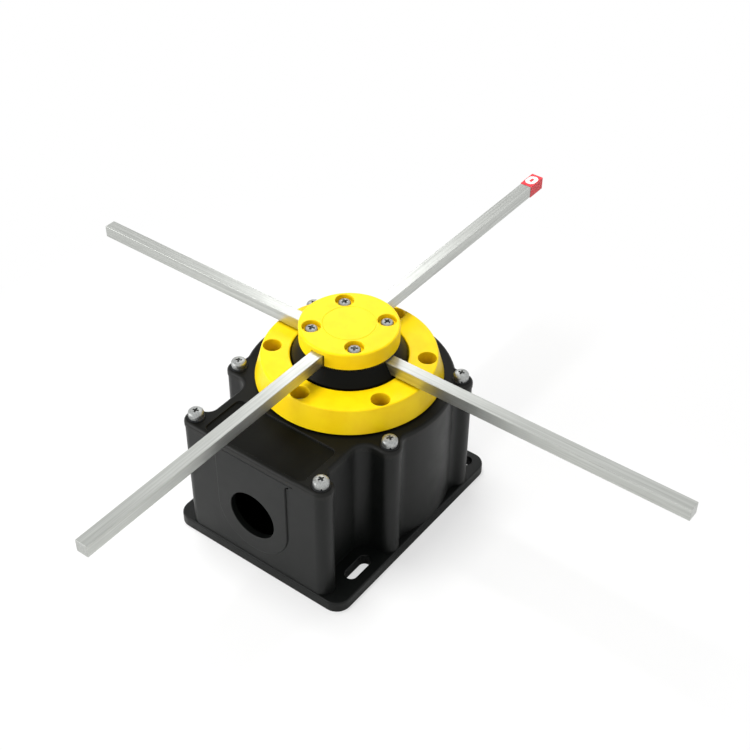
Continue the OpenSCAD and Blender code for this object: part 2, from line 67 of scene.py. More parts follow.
def only(obj):
    """Makes one object the selected and active one."""
    clear_selection()
    obj.select_set(True)
    bpy.context.view_layer.objects.active = obj


def mm(*values):
    return Vector([v * MM for v in values])


def loft(name, rings, closed=False):
    """Extrudes a circle primitive through rings of points in mm; closed joins the last ring to the first."""
    clear_selection()
    fill = "NOTHING" if closed else "NGON"
    bpy.ops.mesh.primitive_circle_add(vertices=len(rings[0]), radius=1, fill_type=fill)
    obj = bpy.context.object
    obj.name = obj.data.name = name
    for v, p in zip(obj.data.vertices, rings[0]):
        v.co = mm(*p)
    bpy.ops.object.mode_set(mode="EDIT")
    bpy.ops.mesh.select_all(action="SELECT")
    for before, after in zip(rings, rings[1:] + (rings[:1] if closed else [])):
        goes = {tuple(round(c, 7) for c in mm(*a)): mm(*b) for a, b in zip(before, after)}
        if closed:
            bpy.ops.mesh.extrude_edges_move()
        else:
            bpy.ops.mesh.extrude_region_move()
        mesh = bmesh.from_edit_mesh(obj.data)
        for v in mesh.verts:
            if v.select:
                v.co = goes[tuple(round(c, 7) for c in v.co)]
        bmesh.update_edit_mesh(obj.data)
    bpy.ops.mesh.select_all(action="SELECT")
    bpy.ops.mesh.remove_doubles(threshold=1e-6)
    bpy.ops.mesh.normals_make_consistent(inside=False)
    bpy.ops.object.mode_set(mode="OBJECT")
    return obj


def turned(name, profile, steps=128):
    """Spins a closed profile of (radius, height) in mm about Z; a radius of 0 closes on the axis."""
    clear_selection()
    bpy.ops.mesh.primitive_circle_add(vertices=len(profile), radius=1, fill_type="NOTHING")
    obj = bpy.context.object
    obj.name = obj.data.name = name
    for v, (r, z) in zip(obj.data.vertices, profile):
        v.co = mm(r, 0, z)
    bpy.ops.object.mode_set(mode="EDIT")
    bpy.ops.mesh.select_all(action="SELECT")
    bpy.ops.mesh.spin(steps=steps, angle=2 * math.pi, center=(0, 0, 0), axis=(0, 0, 1), use_auto_merge=False)
    bpy.ops.mesh.select_all(action="SELECT")
    bpy.ops.mesh.remove_doubles(threshold=1e-6)
    bpy.ops.mesh.dissolve_degenerate(threshold=1e-7)
    bpy.ops.mesh.normals_make_consistent(inside=False)
    bpy.ops.object.mode_set(mode="OBJECT")
    return obj


def block(name, low, high):
    """A box between two corners in mm."""
    clear_selection()
    bpy.ops.mesh.primitive_cube_add(size=1)
    obj = bpy.context.object
    obj.name = obj.data.name = name
    for v in obj.data.vertices:
        v.co = mm(*[(low[i] if v.co[i] < 0 else high[i]) for i in range(3)])
    return obj


def moved(obj, shift=(0, 0, 0), turn=0.0, axis="Z"):
    """Turns a mesh about an axis through the origin, then shifts it by mm."""
    obj.data.transform(Matrix.Translation(mm(*shift)) @ Matrix.Rotation(turn, 4, axis))
    return obj


def copied(obj, name, shift=(0, 0, 0), turn=0.0):
    only(obj)
    bpy.ops.object.duplicate(linked=False)
    twin = bpy.context.object
    twin.name = twin.data.name = name
    return moved(twin, shift, turn)


def apply(obj, kind, **settings):
    """Adds one modifier and applies it at once."""
    only(obj)
    mod = obj.modifiers.new("step", kind)
    for key, value in settings.items():
        setattr(mod, key, value)
    bpy.ops.object.modifier_apply(modifier=mod.name)


def joined(tools):
    """Joins separate solids that don't touch each other into one object."""
    clear_selection()
    for tool in tools:
        tool.select_set(True)
    bpy.context.view_layer.objects.active = tools[0]
    bpy.ops.object.join()
    return tools[0]


def combine(obj, tools, operation="DIFFERENCE"):
    """Runs a boolean with each tool in turn and removes the tools."""
    for tool in tools:
        apply(obj, "BOOLEAN", operation=operation, solver="EXACT", object=tool)
        bpy.data.objects.remove(tool)
    return obj


def pins(places, profile, steps=40):
    """Copies of one turned solid at each (x, y), joined into one tool."""
    first = turned("pin", profile, steps)
    tools = [copied(first, "pin", (x, y, 0)) for x, y in places]
    bpy.data.objects.remove(first)
    return joined(tools)


def rod_of(r, low, high):
    """The profile of a plain round bar."""
    return [(0, low), (r, low), (r, high), (0, high)]


def smooth(obj, angle=30):
    """Cleans a mesh after its booleans and shades it smooth below an angle in degrees."""
    only(obj)
    bpy.ops.object.mode_set(mode="EDIT")
    bpy.ops.mesh.select_all(action="SELECT")
    bpy.ops.mesh.remove_doubles(threshold=2e-6)
    bpy.ops.mesh.delete_loose(use_verts=True, use_edges=True, use_faces=False)
    bpy.ops.mesh.select_all(action="SELECT")
    bpy.ops.mesh.fill_holes(sides=4)
    bpy.ops.mesh.select_all(action="SELECT")
    bpy.ops.mesh.normals_make_consistent(inside=False)
    bpy.ops.object.mode_set(mode="OBJECT")
    bpy.ops.object.shade_smooth_by_angle(angle=math.radians(angle))
    apply(obj, "WEIGHTED_NORMAL", keep_sharp=True)
    return obj


def finished(obj, body, finish, node):
    """Gives a visual piece its finish and the body that it rides on, and hides the CAD node that it stands for."""
    obj.data.materials.clear()
    obj.data.materials.append(finish)
    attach(obj, body)
    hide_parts(node)


# Housing outline, in mm


DRUM = 65.0  # radius of the round rear part
FRONT = 94.0  # pad and flange front, as distances from the axis
FACE = 93.5  # tower front
BACK = 64.0  # flange back
WAIST = 43.0  # half the tower's width
FRONT_POST = (46.7, -86.1, 7.4)  # x, y, radius
MID_POST = (57.2, 36.4, 7.4)
MOUNT_X = 53.7  # slots and rear holes
SLOT_Y = -61.7
REAR_Y = 54.5
ENTRY = (44.7, 16.5)  # height and radius of the cable entry
SIDES = (-1, 1)


def corners(x, y):
    """The four places at plus and minus x and y."""
    return [(s * x, t * y) for s in SIDES for t in SIDES]


def on_circle(r, degrees):
    return r * math.cos(math.radians(degrees)), r * math.sin(math.radians(degrees))


POSTS = [(s * FRONT_POST[0], FRONT_POST[1]) for s in SIDES] + corners(MID_POST[0], MID_POST[1])
RING_HOLES = [on_circle(47, 30 + 60 * i) for i in range(6)]
CAP_HOLES = corners(16, 16)
PILLARS = corners(26, 26)
GUIDES = corners(36.5, 9)

# Arcs of the outline: scoop beside the front post, side recess, blends into the drum
MID_FACE = MID_POST[1] + MID_POST[2]
SCOOP_R = 6.0
SCOOP_RISE = math.sqrt((FRONT_POST[2] + SCOOP_R) ** 2 - (WAIST + SCOOP_R - FRONT_POST[0]) ** 2)
SCOOP = (WAIST + SCOOP_R, FRONT_POST[1] + SCOOP_RISE)
OVERHANG = WAIST + MID_FACE - DRUM
RECESS_R = -OVERHANG + math.sqrt(OVERHANG ** 2 - (WAIST ** 2 + MID_FACE ** 2 - DRUM ** 2))
RECESS = (WAIST + RECESS_R, -MID_FACE - RECESS_R)
BLEND_R = 7.0
TAIL_R = 4.0
TAIL = (math.sqrt((DRUM + TAIL_R) ** 2 - (MID_FACE + TAIL_R) ** 2), MID_FACE + TAIL_R)


def blend_centre():
    """Centre of the arc that touches both the drum and the rear post."""
    d = math.hypot(MID_POST[0], MID_POST[1])
    x = (d * d + (DRUM + BLEND_R) ** 2 - (MID_POST[2] + BLEND_R) ** 2) / (2 * d)
    y = math.sqrt((DRUM + BLEND_R) ** 2 - x * x)
    ux, uy = MID_POST[0] / d, MID_POST[1] / d
    return x * ux + y * uy, x * uy - y * ux


BLEND = blend_centre()


def arc(centre, r, start, end, steps):
    """Points along an arc; the angles are in radians."""
    angles = [start + (end - start) * i / steps for i in range(steps + 1)]
    return [(centre[0] + r * math.cos(a), centre[1] + r * math.sin(a)) for a in angles]


def outline(d, z):
    """The housing's outline in mm, drawn inward by d, as one ring of points at height z."""
    half = [(0.0, -FACE + d)]
    x, y, r = FRONT_POST
    lean = math.atan2(SCOOP[1] - y, SCOOP[0] - x)
    half += arc((x, y), r - d, -math.pi / 2, lean, 12)
    half += arc(SCOOP, SCOOP_R + d, lean - math.pi, -math.pi, 10)[1:]
    half += arc(RECESS, RECESS_R + d, math.pi, math.pi / 2, 12)
    x, y, r = MID_POST
    toward = math.atan2(BLEND[1] - y, BLEND[0] - x)
    edge = math.atan2(BLEND[1], BLEND[0])
    half += arc((x, -y), r - d, -math.pi / 2, -toward, 12)
    back = -toward + math.pi
    blend = arc((BLEND[0], -BLEND[1]), BLEND_R + d, back, math.pi - edge, 8)[1:-1]
    half += blend
    half += arc((0, 0), DRUM - d, -edge, edge, 14)
    half += [(px, -py) for px, py in reversed(blend)]
    half += arc((x, y), r - d, toward, math.pi / 2, 12)
    tail = math.atan2(TAIL[1], TAIL[0])
    half += arc(TAIL, TAIL_R + d, -math.pi / 2, tail - math.pi, 6)
    half += arc((0, 0), DRUM - d, tail, math.pi / 2, 16)[1:]
    whole = half + [(-px, py) for px, py in reversed(half[1:-1])]
    return [(px, py, z) for px, py in whole]


def cavity(d, low, high):
    """The room inside the base's walls as a solid, drawn outward by d."""
    space = turned("cavity", rod_of(61 + d, low, high), 96)
    combine(space, [block("room", (-39 - d, -90 - d, low), (39 + d, -20, high))], "UNION")
    return combine(space, [pins(POSTS, rod_of(MID_POST[2] - d, low - 1, high + 1), 48)])


def rounded_box(x0, y0, x1, y1, r, z, steps=8):
    """A rectangle with round corners as one ring of points at height z."""
    pts = []
    for cx, cy, a in ((x1 - r, y0 + r, -90), (x1 - r, y1 - r, 0), (x0 + r, y1 - r, 90), (x0 + r, y0 + r, 180)):
        pts += arc((cx, cy), r, math.radians(a), math.radians(a + 90), steps)
    return [(x, y, z) for x, y in pts]


# Materials


def linear(code):
    """An sRGB hex colour as linear RGBA."""
    values = [int(code[i:i + 2], 16) / 255 for i in (1, 3, 5)]
    return [v / 12.92 if v <= 0.04045 else ((v + 0.055) / 1.055) ** 2.4 for v in values] + [1.0]


def add(tree, kind, links=(), **settings):
    """Adds a node; a setting whose name is a socket's sets that socket, any other sets the node itself."""
    item = tree.nodes.new(kind)
    for key, value in settings.items():
        label = key.replace("_", " ")
        if hasattr(item, key) and key not in ("name", "Scale"):
            setattr(item, key, value)
        else:
            item.inputs[label].default_value = value
    for socket, source in links:
        tree.links.new(source, item.inputs[socket])
    return item


def new_material(name, colour, roughness, metallic=0.0):
    """A Principled material, with its tree, its shader and its object coordinates in metres."""
    material = bpy.data.materials.new(name)
    material.use_nodes = True
    tree = material.node_tree
    shader = tree.nodes["Principled BSDF"]
    shader.inputs["Base Color"].default_value = linear(colour)
    shader.inputs["Roughness"].default_value = roughness
    shader.inputs["Metallic"].default_value = metallic
    material.diffuse_color = linear(colour)
    return material, tree, shader, add(tree, "ShaderNodeTexCoord").outputs["Object"]


def noise(tree, place, scale, detail, roughness):
    """A noise over a place; the scale is per metre."""
    made = add(tree, "ShaderNodeTexNoise", [("Vector", place)], Scale=scale, Detail=detail, Roughness=roughness)
    return made.outputs["Fac"]


def tinted(tree, shader, source, dark, light, low, high):
    """Runs the colour from dark to light as a noise runs from low to high."""
    ramp = add(tree, "ShaderNodeValToRGB", [("Fac", source)])
    first, last = ramp.color_ramp.elements
    first.position, first.color = low, linear(dark)
    last.position, last.color = high, linear(light)
    tree.links.new(ramp.outputs["Color"], shader.inputs["Base Color"])


def glossed(tree, shader, source, low, high):
    """Runs the roughness from low to high with a noise."""
    gloss = add(tree, "ShaderNodeMapRange", [("Value", source)], To_Min=low, To_Max=high)
    tree.links.new(gloss.outputs["Result"], shader.inputs["Roughness"])


def grained(tree, shader, source, strength, depth):
    """Raises a noise as a bump; the depth is in mm."""
    bump = add(tree, "ShaderNodeBump", [("Height", source)], Strength=strength, Distance=depth * MM)
    tree.links.new(bump.outputs["Normal"], shader.inputs["Normal"])


def moulded_nylon(name, dark, light, rough, grain, relief, sheen):
    """Black glass-filled nylon: satin skin with an eroded grain and faint flow mottling.

    rough is the range of roughness, grain the size of the skin's grain in mm, relief the strength of its bump
    and sheen the specular level.
    """
    material, tree, shader, place = new_material(name, dark, rough[0])
    shader.inputs["Specular IOR Level"].default_value = sheen
    cloud = noise(tree, place, 90, 4, 0.6)
    tinted(tree, shader, cloud, dark, light, 0.3, 0.75)
    glossed(tree, shader, cloud, *rough)
    grained(tree, shader, noise(tree, place, 1000 / grain, 3, 0.65), relief, 0.1)
    return material


def shaded_top_sheen(material, edge_sheen, top_sheen, panel_sheen, panel_z, top_z):
    """Painted shade: faces that point up get a lower specular level, for a dimmer reflection from above; the rounded
    edge keeps its satin and the sunk panel is dullest. Heights in mm.
    """
    tree = material.node_tree
    place = add(tree, "ShaderNodeTexCoord")
    height = add(tree, "ShaderNodeSeparateXYZ", [("Vector", place.outputs["Object"])])
    level = add(tree, "ShaderNodeMapRange", [("Value", height.outputs["Z"])],
                From_Min=panel_z * MM, From_Max=top_z * MM, To_Min=panel_sheen, To_Max=top_sheen)
    facing = add(tree, "ShaderNodeSeparateXYZ", [("Vector", place.outputs["Normal"])])
    sheen = add(tree, "ShaderNodeMapRange", [("Value", facing.outputs["Z"]), ("To Max", level.outputs["Result"])],
                From_Min=0.75, From_Max=0.98, To_Min=edge_sheen)
    shader = tree.nodes["Principled BSDF"]
    tree.links.new(sheen.outputs["Result"], shader.inputs["Specular IOR Level"])
    return material


def moulded_yellow(name, base, shade):
    """Signal yellow nylon: strong even colour, satin, with a fine grain."""
    material, tree, shader, place = new_material(name, base, 0.38)
    shader.inputs["Specular IOR Level"].default_value = 0.2
    shader.inputs["Subsurface Weight"].default_value = 0.06
    shader.inputs["Subsurface Radius"].default_value = (0.002, 0.0015, 0.0004)
    shader.inputs["Subsurface Scale"].default_value = 1.0
    tinted(tree, shader, noise(tree, place, 70, 5, 0.55), shade, base, 0.3, 0.6)
    grained(tree, shader, noise(tree, place, 1600, 2, 0.5), 0.12, 0.1)
    return material


def drawn_steel(name, along):
    """Cold-drawn square steel, zinc-plated: fine lines along the bar and dull patches."""
    material, tree, shader, place = new_material(name, "#B6B8B4", 0.36, 1.0)
    squeeze = (14, 900, 900) if along == "X" else (900, 14, 900)
    lines_at = add(tree, "ShaderNodeMapping", [("Vector", place)], Scale=squeeze)
    lines = noise(tree, lines_at.outputs["Vector"], 1, 5, 0.7)
    tinted(tree, shader, lines, "#A9ABA7", "#C6C8C4", 0.3, 0.66)
    glossed(tree, shader, noise(tree, place, 120, 4, 0.6), 0.3, 0.42)
    grained(tree, shader, lines, 0.15, 0.05)
    return material


def worked_metal(name, colour, dark, roughness, grain, relief=0.15):
    """A turned, stamped or plated metal part: a small grain, in mm, in colour and gloss, and no paint."""
    material, tree, shader, place = new_material(name, colour, roughness, 1.0)
    grit = noise(tree, place, 1000 / grain, 4, 0.6)
    tinted(tree, shader, grit, dark, colour, 0.3, 0.6)
    glossed(tree, shader, grit, roughness * 0.8, roughness * 1.3)
    grained(tree, shader, grit, relief, 0.05)
    return material


def plain_plastic(name, colour, shade, roughness, grain=0.8):
    """A small moulded, printed or rubber part: one colour, with faint mottling of a size in mm."""
    material, tree, shader, place = new_material(name, colour, roughness)
    cloud = noise(tree, place, 1000 / grain, 3, 0.55)
    tinted(tree, shader, cloud, shade, colour, 0.35, 0.65)
    grained(tree, shader, cloud, 0.08, 0.05)
    return material


STUFF = {}


def stuff(key):
    """Each finish is made once, when first asked for."""
    if key not in STUFF:
        look = bpy.context.scene.switch_finish
        makers = {
            "housing": lambda: moulded_nylon("Black nylon base", look.black, "#0A0C0B", (0.36, 0.5), 0.55, 0.3, 0.23),
            # The lid's top gets painted shade: a lower sheen on faces that point up, for a dimmer reflection from
            # above.
            "lid": lambda: shaded_top_sheen(
                moulded_nylon("Black nylon lid", look.lid_black, "#0F100D", (0.4, 0.52), 0.7, 0.25, 0.19),
                edge_sheen=0.26, top_sheen=0.11, panel_sheen=0.06, panel_z=90.9, top_z=91.6),
            "hub": lambda: moulded_nylon("Black nylon hub", "#050605", "#090A08", (0.4, 0.5), 0.6, 0.2, 0.09),
            "yellow": lambda: moulded_yellow("Signal yellow nylon", look.yellow, "#F0C706"),
            "rod_x": lambda: drawn_steel("Drawn steel along X", "X"),
            "rod_y": lambda: drawn_steel("Drawn steel along Y", "Y"),
            "zinc": lambda: worked_metal("Zinc-plated screw", "#B4B6B4", "#8E9090", 0.42, 0.9, 0.06),
            "steel": lambda: worked_metal("Turned steel", "#A8ABAD", "#85888A", 0.32, 0.9),
            "sheet": lambda: worked_metal("Pressed steel sheet", "#9DA0A1", "#7D8081", 0.4, 1.4),
            "oxide": lambda: worked_metal("Black-oxide steel", "#5A5B58", "#343533", 0.38, 1.2),
            "alloy": lambda: worked_metal("Machined aluminium", "#D0D2D3", "#B5B8BA", 0.35, 1.1),
            "brass": lambda: worked_metal("Turned brass", "#D8B25C", "#B88E3C", 0.3, 1.0),
            "bronze": lambda: worked_metal("Sintered bronze", "#A9793A", "#7C5322", 0.5, 0.5, 0.4),
            "rubber": lambda: plain_plastic("Nitrile rubber", "#191A1C", "#101112", 0.7),
            "red": lambda: plain_plastic("Red marker film", look.red, "#D8303A", 0.5, 2.5),
            "white": lambda: plain_plastic("White printed ink", "#F6F6F4", "#E8E8E6", 0.4),
            "switch": lambda: plain_plastic("Phenolic switch case", "#9C2F22", "#7E2418", 0.45),
            "cam": lambda: plain_plastic("White acetal cam", "#E6E2D6", "#D2CDBE", 0.35),
        }
        STUFF[key] = makers[key]()
    return STUFF[key]


# Settings


def length_of(name, description, default, **limits):
    """A setting in mm."""
    return bpy.props.FloatProperty(name=name, description=description + ", in mm", default=default, **limits)


def colour_of(name, description, default):
    """A setting that holds an sRGB hex code."""
    return bpy.props.StringProperty(name=name, description=description, default=default)


def angle_of(name, description, degrees):
    """A setting that is shown in degrees."""
    return bpy.props.FloatProperty(name=name, description=description, subtype="ANGLE",
                                   default=math.radians(degrees))


class SwitchHousing(bpy.types.PropertyGroup):
    """Sizes of the moulded housing."""
    base_top: length_of("Parting plane", "Height of the base", 87.0, min=70, max=110)
    lid_top: length_of("Lid top", "Height of the lid's top face", 92.0, min=74, max=118)
    edge: length_of("Lid edge radius", "Rounding of the lid's upper edge", 2.5, min=0.5, max=4)
    flange: length_of("Flange", "Thickness of the flange", 7.6, min=5, max=12)


class SwitchHead(bpy.types.PropertyGroup):
    """Sizes of the collar ring and the turning head."""
    ring_low: length_of("Ring foot", "Height of the ring's underside", 93.2)
    ring_top: length_of("Ring top", "Height of the ring's top face", 108.7)
    cap_low: length_of("Cap foot", "Height of the cap's underside", 119.2)
    cap_top: length_of("Cap top", "Height of the cap's top face", 130.4)
    bore: length_of("Counterbore", "Radius of the ring's counterbores", 5.65)


class SwitchRods(bpy.types.PropertyGroup):
    """Edges of the two crossed rods; their length and side come from the CAD."""
    corner: length_of("Corner", "Rounding of the rods' long edges", 0.35)


class SwitchFinish(bpy.types.PropertyGroup):
    """Colours of the finishes, as sRGB hex codes."""
    black: colour_of("Base black", "Colour of the base", "#070908")
    lid_black: colour_of("Lid black", "Colour of the lid", "#0A0A08")
    yellow: colour_of("Yellow", "Colour of the collar and cap", "#F6D30E")
    red: colour_of("Red", "Colour of the rod marker", "#E83A45")


class SwitchView(bpy.types.PropertyGroup):
    """Where the camera stands and how strong the light is."""
    azimuth: angle_of("Azimuth", "Direction of the camera round the object", 36.43)
    elevation: angle_of("Elevation", "Height of the camera as an angle", 40.33)
    roll: angle_of("Roll", "Tilt of the camera about its own line of sight", 0.69)
    distance: bpy.props.FloatProperty(name="Distance", subtype="DISTANCE", unit="LENGTH",
                                      description="Distance of the camera", default=0.83272)
    lens: bpy.props.FloatProperty(name="Lens", description="Focal length, in mm on a 36 mm sensor", default=64.03)
    world: bpy.props.FloatProperty(name="World light", description="Strength of the even light from all round",
                                   default=0.36)


# Operators


class SWITCH_OT_base(bpy.types.Operator):
    """Model the base with its flange, posts, gland pad and bore"""
    bl_idname = "limit_switch.base"
    bl_label = "Base"

    def execute(self, context):
        size = context.scene.switch_housing
        top, t = size.base_top, size.flange
        base = loft("base_shell", [outline(0.4, 1.0), outline(0.4, top - 0.25), outline(0.65, top)])
        edges = [(0.5, 0), (0, 0.5), (0, t - 1.3), (0.25, t - 0.5), (0.7, t - 0.1), (1.3, t)]
        flange = loft("flange", [
            rounded_box(-DRUM + d, -FRONT + d, DRUM - d, BACK - d, 9.5 - d, z) for d, z in edges])
        worn = ((0, 2), (0, 0.85), (0.06, 0.55), (0.25, 0.25), (0.5, 0.08), (0.85, 0))
        combine(base, [flange, loft("pad", [self.pad(d, y) for d, y in worn])], "UNION")
        groove = combine(cavity(2.2, top - 1.5, top + 2), [cavity(0.8, top - 3, top + 4)])
        combine(base, [cavity(0, 5, top + 3), groove])
        combine(base, [pins(POSTS, [(0, top - 20), (2.8, top - 20), (2.8, top - 12), (3.5, top - 12),
                                    (3.5, top + 1), (0, top + 1)])])
        combine(base, [joined([self.entry()] + self.mounts(t) + self.arches())])
        smooth(base)
        finished(base, "housing", stuff("housing"), "base_box")
        return {"FINISHED"}

    def entry(self):
        """The round cable entry, with its outer edge broken."""
        high, r = ENTRY
        profile = [(0, -8), (r, -8), (r, 3.75), (r + 0.1, 3.9), (r + 0.35, 4.05), (r + 0.35, 9), (0, 9)]
        bore = moved(turned("bore", profile, 96), turn=math.radians(90), axis="X")
        return moved(bore, (0, -FRONT + 4, high))

    def mounts(self, t):
        """The front slots and the rear holes through the flange, with broken upper edges."""
        steps = ((4.1, 10.7, -1), (4.1, 10.7, t - 0.25), (4.4, 11.0, t + 0.1))
        slots = [loft("slot", [rounded_box(s * MOUNT_X - w, SLOT_Y - l, s * MOUNT_X + w, SLOT_Y + l, w - 0.01, z)
                               for w, l, z in steps]) for s in SIDES]
        hole = [(0, -1), (4.2, -1), (4.2, t - 0.25), (4.5, t + 0.1), (0, t + 0.1)]
        return slots + [pins([(s * MOUNT_X, REAR_Y) for s in SIDES], hole, 48)]

    def arches(self):
        """The undercut arch on either side of the pad's top."""
        arch = arc((30.6, 82.8), 3.9, math.radians(172), math.radians(83), 10)
        arch += arc((31.3, 82.2), 3.3, math.radians(88), math.radians(168), 10)
        return [loft("arch", [[(s * x, -93.1 + y, z) for x, z in arch] for y in (-0.5, 0.6)]) for s in SIDES]

    def pad(self, inset, back):
        """The pad's face as a ring, with the upper corners swept out along the parting line."""
        r, sweep, high = 26.6 - inset, 4.0 + inset, 86.8 - inset
        points = arc((0, 43), r, math.pi, 2 * math.pi, 40)
        points += arc((r + sweep, high - sweep), sweep, math.pi, math.pi / 2, 8)
        points += arc((-r - sweep, high - sweep), sweep, math.pi / 2, 0, 8)
        return [(x, -FRONT + back, z) for x, z in points]


class SWITCH_OT_lid(bpy.types.Operator):
    """Model the lid with its rounded edge, screw pockets, bare panel, ring seat and underside"""
    bl_idname = "limit_switch.lid"
    bl_label = "Lid"

    def execute(self, context):
        size = context.scene.switch_housing
        low, top, r = size.base_top, size.lid_top, size.edge
        sides = [outline(0.25, low), outline(0, low + 0.25), outline(0, top - r)]
        lid = loft("lid_shell", sides + self.edge(outline, top, r, range(15, 91, 15)))
        foot = [self.rise(0.2, low), self.rise(0, low + 0.25)]
        rise = loft("rise", foot + self.edge(self.rise, top, r, range(0, 76, 15)))
        seat = turned("seat", [(0, top - 2), (56, top - 2), (56, top + 0.9), (55.7, top + 1.2), (0, top + 1.2)])
        tube = turned("tube", [(0, low - 13), (14, low - 13), (14, low + 1), (19, low + 1), (19, top + 4.2),
                               (18.7, top + 4.5), (0, top + 4.5)], 96)
        lip = combine(cavity(-0.4, low - 4, low + 1), [cavity(-2.4, low - 6, low + 3)])
        combine(lid, [rise, seat, tube, lip, pins(RING_HOLES, rod_of(5.5, low - 11, low + 1))], "UNION")
        combine(lid, [pins(PILLARS, rod_of(6, low - 7, low + 1)),
                      pins(GUIDES, rod_of(4.6, low - 7, low + 1))], "UNION")
        pocket = [(0, low - 1), (2.8, low - 1), (2.8, top - 0.7), (5.3, top - 0.7), (5.5, top - 0.5),
                  (5.5, top - 0.25), (5.8, top + 0.1), (0, top + 0.1)]
        sunk = ((0.5, top - 1.2), (0.15, top - 1.1), (0, top - 0.8), (0, top - 0.2), (-0.2, top + 0.05))
        cuts = [
            pins(POSTS, pocket, 48),
            pins(RING_HOLES, rod_of(2.55, low - 10, top + 3)),
            pins(PILLARS, rod_of(2.05, low - 8, low)),
            pins(GUIDES, rod_of(2.05, low - 8, low + 0.5)),
            turned("bore", [(0, low - 14), (10, low - 14), (10, top - 2.5), (15, top - 2.5), (15, top + 6),
                            (0, top + 6)], 64),
            loft("panel", [self.panel(d, z) for d, z in sunk]),
        ]
        combine(lid, [joined(cuts)])
        smooth(lid)
        finished(lid, "housing", stuff("lid"), "lid")
        return {"FINISHED"}

    def edge(self, shape, top, r, angles):
        """Rings of a shape that follow the rounded upper edge."""
        turns = [math.radians(a) for a in angles]
        return [shape(r - r * math.cos(a), top - r + r * math.sin(a)) for a in turns]

    def rise(self, d, z):
        """The lid's front edge over the pad, half a millimetre proud and tapered away at both ends."""
        ring = [(-36, -FACE), (-30, -FRONT), (30, -FRONT), (36, -FACE), (36, -FACE + 1.5), (-36, -FACE + 1.5)]
        return [(x, y + (d if y < -FACE + 1 else 2), z) for x, y in ring]

    def panel(self, d, z):
        """The sunk panel's outline, drawn inward by d."""
        return rounded_box(-37 + d, -91 + d, 37 - d, -59 - d, 4 - d, z)


def counterbore(shank, r, low, floor, top):
    """The profile of a counterbored hole with a worn upper edge."""
    return [(0, low - 1), (shank, low - 1), (shank, floor), (r - 0.3, floor), (r, floor + 0.3), (r, top - 0.35),
            (r + 0.1, top - 0.15), (r + 0.3, top + 0.05), (r + 0.3, top + 1), (0, top + 1)]


class SWITCH_OT_ring(bpy.types.Operator):
    """Model the yellow collar ring with its six counterbores"""
    bl_idname = "limit_switch.ring"
    bl_label = "Collar ring"

    def execute(self, context):
        size = context.scene.switch_head
        low, top, r = size.ring_low, size.ring_top, size.bore
        outside = [(35.8, low), (57.1, low), (57.5, low + 0.4), (53.75, top - 0.95), (53.55, top - 0.5),
                   (53.2, top - 0.15), (52.7, top)]
        inside = [(37.0, top), (36.45, top - 0.12), (36.0, top - 0.5), (35.8, top - 1.1)]
        ring = turned("collar_ring_shell", outside + inside, 144)
        combine(ring, [pins(RING_HOLES, counterbore(2.8, r, low, low + 4.6, top))])
        smooth(ring)
        finished(ring, "housing", stuff("yellow"), "collar_ring")
        return {"FINISHED"}


class SWITCH_OT_cap(bpy.types.Operator):
    """Model the yellow cap with the slot for the upper rod and its counterbores"""
    bl_idname = "limit_switch.cap"
    bl_label = "Cap"

    def execute(self, context):
        size = context.scene.switch_head
        low, top = size.cap_low, size.cap_top
        corner = arc((29.2, top - 1.2), 1.2, 0, math.pi / 2, 6)
        circle = [(16.35, top), (16.2, top - 0.22), (15.9, top - 0.22), (15.75, top)]
        profile = [(0, low), (30.0, low), (30.4, low + 0.4)] + corner + circle + [(0, top)]
        cap = turned("cap_shell", profile, 144)
        bores = pins(CAP_HOLES, counterbore(2.3, 5.7, low, low + 7.4, top))
        combine(cap, [joined([bores, block("slot", (-4.8, -40, low - 1), (4.8, 40, low + 8))])])
        smooth(cap)
        finished(cap, "head", stuff("yellow"), "cap")
        return {"FINISHED"}


class SWITCH_OT_rods(bpy.types.Operator):
    """Model the two square rods with rounded edges and dressed ends"""
    bl_idname = "limit_switch.rods"
    bl_label = "Rods"

    def execute(self, context):
        size = context.scene.switch_rods
        for node, along, key in (("lower_rod", 0, "rod_x"), ("upper_rod", 1, "rod_y")):
            low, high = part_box(node)
            rod = block(node + "_bar", [v * 1000 for v in low], [v * 1000 for v in high])
            only(rod)
            bpy.ops.object.mode_set(mode="EDIT")
            mesh = bmesh.from_edit_mesh(rod.data)
            for edge in mesh.edges:
                a, b = edge.verts
                edge.select_set(abs(a.co[along] - b.co[along]) > 0.1)
            bmesh.update_edit_mesh(rod.data)
            bpy.ops.mesh.bevel(offset=size.corner * MM, segments=3, affect="EDGES")
            bpy.ops.object.mode_set(mode="OBJECT")
            self.dress_ends(rod, along)
            smooth(rod, 50)
            finished(rod, "head", stuff(key), node)
        return {"FINISHED"}

    def dress_ends(self, rod, along):
        """A small chamfer round each sawn end."""
        bpy.ops.object.mode_set(mode="EDIT")
        mesh = bmesh.from_edit_mesh(rod.data)
        ends = [min(v.co[along] for v in mesh.verts), max(v.co[along] for v in mesh.verts)]
        for edge in mesh.edges:
            edge.select_set(False)
        for face in mesh.faces:
            face.select_set(any(all(abs(v.co[along] - e) < 1e-6 for v in face.verts) for e in ends))
        bmesh.update_edit_mesh(rod.data)
        bpy.ops.mesh.region_to_loop()
        bpy.ops.mesh.bevel(offset=0.25 * MM, segments=2, affect="EDGES")
        bpy.ops.object.mode_set(mode="OBJECT")


